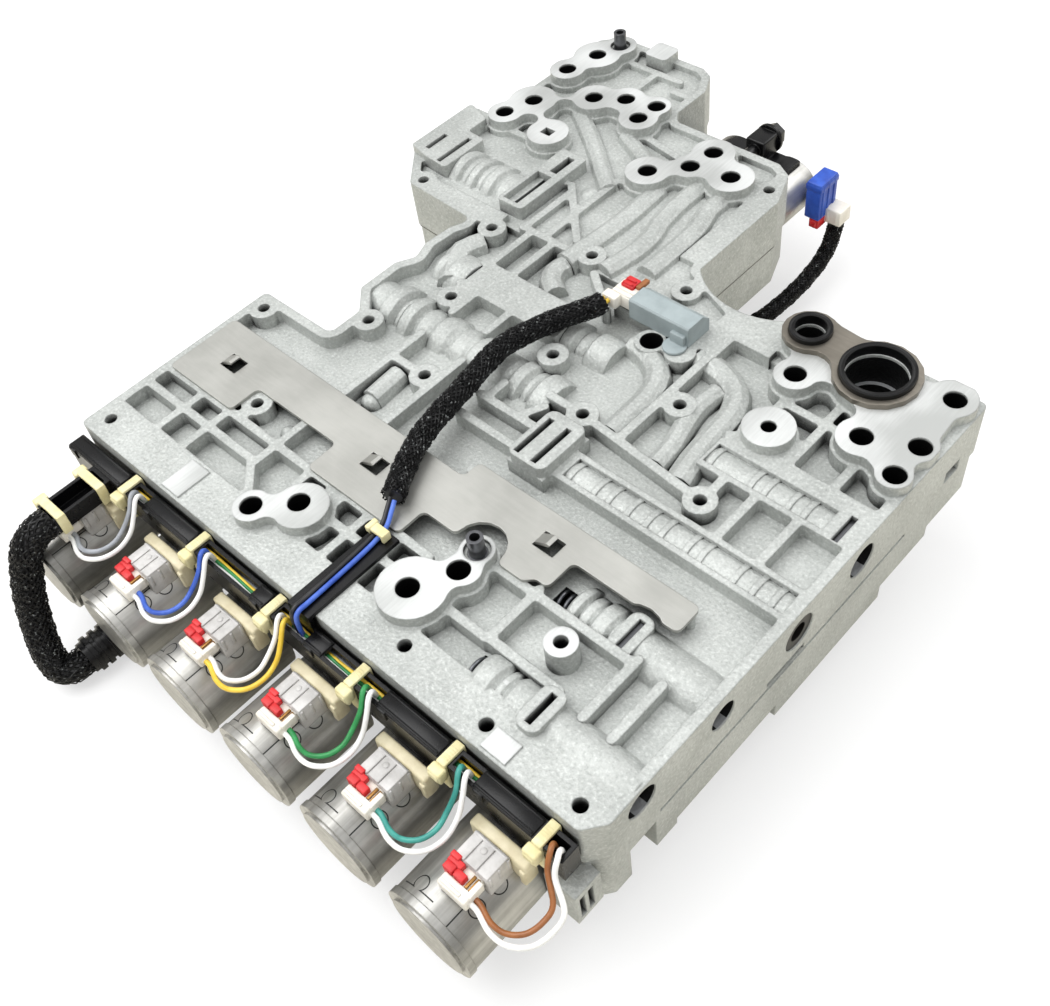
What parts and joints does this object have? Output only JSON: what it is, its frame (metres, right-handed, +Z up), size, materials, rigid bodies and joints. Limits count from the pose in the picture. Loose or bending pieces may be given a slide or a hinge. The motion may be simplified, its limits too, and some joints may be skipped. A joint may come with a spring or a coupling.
{
  "type": "transmission valve body",
  "caption": "Automatic gearbox valve body: ribbed die-cast halves with spool valves, a row of cylindrical solenoids, a wiring tray, machined oil pads and dowels.",
  "frame": {"origin": "on the axis of the front dowel, in the plane of the machined pads", "axes": "+X along the row of solenoids towards the open valve ends, +Y from the solenoids to the tower, +Z up out of the machined pads"},
  "size_m": [0.2523, 0.3467, 0.074],
  "materials": {
    "cast": "as die-cast, fine grain, machined pads",
    "plate": "rolled",
    "zinc": "zinc plated",
    "stamped": "satin stamped",
    "bronze": "coated steel",
    "rubber": "moulded",
    "steel": "hardened",
    "spool": "ground and anodised",
    "spring": "drawn wire",
    "can": "bright rolled",
    "housing": "semi-clear",
    "white": "moulded",
    "wire": "coloured insulation",
    "black": "moulded",
    "tie": "moulded",
    "sensor": "moulded",
    "braid": "braided sleeve",
    "blue": "moulded"
  },
  "bodies": {
    "valve_body": {"upper_body": "cast", "separator_plate": "plate", "lower_body": "cast", "body_bolts": "zinc", "clip_plate": "stamped", "seal_plate": "bronze", "small_ring": "rubber", "large_ring": "rubber", "front_dowel": "steel", "rear_dowel": "steel", "retainer_keys": "steel", "front_spring": "spring", "second_spring": "spring", "long_spring": "spring", "rear_spring": "spring", "left_spring": "spring", "tower_spring": "spring", "front_plug": "spool", "second_plug": "spool", "long_plug": "spool", "rear_plug": "spool", "left_plug": "spool", "tower_plug": "spool", "long_stop": "spool", "tower_seat": "spool", "can_1": "can", "can_2": "can", "can_3": "can", "can_4": "can", "can_5": "can", "can_6": "can", "connector_1": "housing", "connector_2": "housing", "connector_3": "housing", "connector_4": "housing", "connector_5": "housing", "connector_6": "housing", "harness_plugs": "white", "solenoid_leads": "wire", "harness_tray": "black", "tray_wires": "wire", "cable_ties": "tie", "sensor_block": "sensor", "sensor_plug": "white", "sensor_sleeve": "braid", "sensor_leads": "wire", "main_sleeve": "braid", "main_connector": "black", "rear_can_left": "can", "rear_can_right": "can", "rear_bracket": "black", "rear_connector": "blue", "rear_sleeve": "braid"},
    "front_valve": {"front_spool": "spool"},
    "second_valve": {"second_spool": "spool"},
    "long_valve": {"long_spool": "spool"},
    "rear_valve": {"rear_spool": "spool"},
    "left_valve": {"left_spool": "spool"},
    "tower_valve": {"tower_spool": "spool"}
  },
  "joints": [
    {"name": "front_slide", "type": "slide", "parent": "valve_body", "child": "front_valve", "axis": [-1, 0, 0], "range_m": [0, 0.004], "stiffness_N_per_m": 600, "springref_m": -0.003, "deforming": ["front_spring"]},
    {"name": "second_slide", "type": "slide", "parent": "valve_body", "child": "second_valve", "axis": [-1, 0, 0], "range_m": [0, 0.004], "stiffness_N_per_m": 600, "springref_m": -0.003, "deforming": ["second_spring"]},
    {"name": "long_slide", "type": "slide", "parent": "valve_body", "child": "long_valve", "axis": [1, 0, 0], "range_m": [0, 0.004], "stiffness_N_per_m": 600, "springref_m": -0.003, "deforming": ["long_spring"]},
    {"name": "rear_slide", "type": "slide", "parent": "valve_body", "child": "rear_valve", "axis": [-1, 0, 0], "range_m": [0, 0.004], "stiffness_N_per_m": 600, "springref_m": -0.003, "deforming": ["rear_spring"]},
    {"name": "left_slide", "type": "slide", "parent": "valve_body", "child": "left_valve", "axis": [1, 0, 0], "range_m": [0, 0.004], "stiffness_N_per_m": 600, "springref_m": -0.003, "deforming": ["left_spring"]},
    {"name": "tower_slide", "type": "slide", "parent": "valve_body", "child": "tower_valve", "axis": [1, 0, 0], "range_m": [0, 0.004], "stiffness_N_per_m": 600, "springref_m": -0.003, "deforming": ["tower_spring"]}
  ]
}
